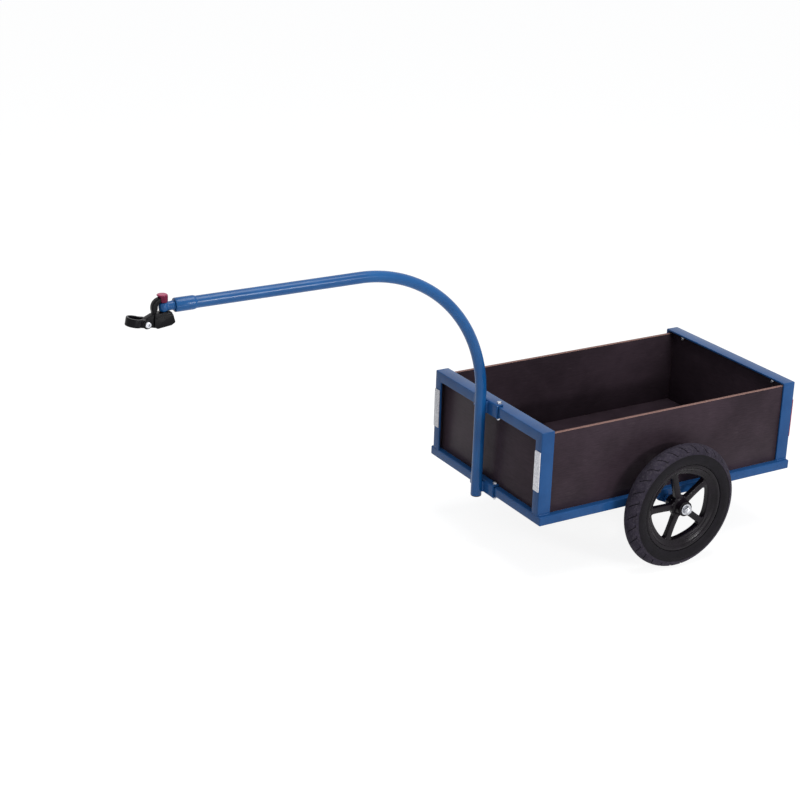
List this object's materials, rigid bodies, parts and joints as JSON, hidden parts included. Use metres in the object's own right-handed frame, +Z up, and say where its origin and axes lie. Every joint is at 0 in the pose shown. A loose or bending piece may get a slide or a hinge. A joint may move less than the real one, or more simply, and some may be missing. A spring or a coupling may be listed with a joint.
{
  "type": "cargo bike trailer",
  "caption": "Cargo bike trailer: plywood box in a blue angle frame on two pneumatic wheels, with a high bent towing tube to a seat-post coupling.",
  "frame": {"origin": "on the ground, under the middle of the trailer's overall length and width", "axes": "+X forward towards the bicycle, +Y to the left, +Z up"},
  "size_m": [1.6804, 0.6632, 0.7748],
  "materials": {
    "blue_paint": "gloss powder coat",
    "black_paint": "satin powder coat",
    "phenolic_ply": "smooth dark phenolic film, bare ply edges",
    "zinc": "bright zinc plate",
    "steel": "turned steel",
    "tyre_rubber": "matt, with a light tread",
    "tube_rubber": "matt",
    "black_plastic": "moulded",
    "red_plastic": "moulded",
    "white_reflector": "prismatic",
    "red_reflector": "prismatic"
  },
  "bodies": {
    "chassis": {"base_rail_front": "blue_paint", "top_rail_front": "blue_paint", "panel_front": "phenolic_ply", "post_front_left": "blue_paint", "screw_front_left": "zinc", "reflector_front_left": "white_reflector", "post_front_right": "blue_paint", "screw_front_right": "zinc", "reflector_front_right": "white_reflector", "base_rail_rear": "blue_paint", "top_rail_rear": "blue_paint", "panel_rear": "phenolic_ply", "post_rear_left": "blue_paint", "screw_rear_left": "zinc", "reflector_rear_left": "red_reflector", "post_rear_right": "blue_paint", "screw_rear_right": "zinc", "reflector_rear_right": "red_reflector", "panel_floor": "phenolic_ply", "axle": "steel", "base_rail_left": "blue_paint", "axle_bracket_left": "blue_paint", "panel_left": "phenolic_ply", "axle_washer_left": "zinc", "axle_nut_left": "zinc", "base_rail_right": "blue_paint", "axle_bracket_right": "blue_paint", "panel_right": "phenolic_ply", "axle_washer_right": "zinc", "axle_nut_right": "zinc", "arm_tube": "blue_paint", "arm_cap": "black_plastic", "arm_saddle_upper": "blue_paint", "arm_bolt_upper_left": "zinc", "arm_bolt_upper_right": "zinc", "arm_saddle_lower": "blue_paint", "arm_bolt_lower_left": "zinc", "arm_bolt_lower_right": "zinc", "swivel_sleeve": "blue_paint"},
    "wheel_left": {"tyre_left": "tyre_rubber", "inner_tube_left": "tube_rubber", "rim_left": "black_plastic", "bearing_outer_left": "steel", "bearing_inner_left": "steel"},
    "wheel_right": {"tyre_right": "tyre_rubber", "inner_tube_right": "tube_rubber", "rim_right": "black_plastic", "bearing_outer_right": "steel", "bearing_inner_right": "steel"},
    "swivel": {"coupling_eye": "blue_paint", "swivel_nut": "zinc"},
    "coupling": {"coupling_fork": "black_paint"},
    "lock": {"locking_pin": "steel", "release_knob": "red_plastic"},
    "clamp": {"post_clamp": "black_paint", "pivot_bolt": "zinc", "pivot_washer": "black_paint", "pivot_nut": "zinc"}
  },
  "joints": [
    {"name": "wheel_left_spin", "type": "hinge", "parent": "chassis", "child": "wheel_left", "pos_m": [-0.45036, 0.288, 0.158], "axis": [0, 1, 0], "continuous": true},
    {"name": "wheel_right_spin", "type": "hinge", "parent": "chassis", "child": "wheel_right", "pos_m": [-0.45036, -0.288, 0.158], "axis": [0, 1, 0], "continuous": true},
    {"name": "arm_swivel", "type": "hinge", "parent": "chassis", "child": "swivel", "pos_m": [0.72964, 0, 0.747], "axis": [1, 0, 0], "range_deg": [-45, 45]},
    {"name": "coupling_turn", "type": "hinge", "parent": "swivel", "child": "coupling", "pos_m": [0.75364, 0, 0.747], "axis": [0, 0, 1], "range_deg": [-90, 90]},
    {"name": "pin_lift", "type": "slide", "parent": "coupling", "child": "lock", "axis": [0, 0, 1], "range_m": [0, 0.04]},
    {"name": "clamp_tilt", "type": "hinge", "parent": "coupling", "child": "clamp", "pos_m": [0.79614, 0, 0.718], "axis": [0, 1, 0], "range_deg": [-20, 20]}
  ]
}
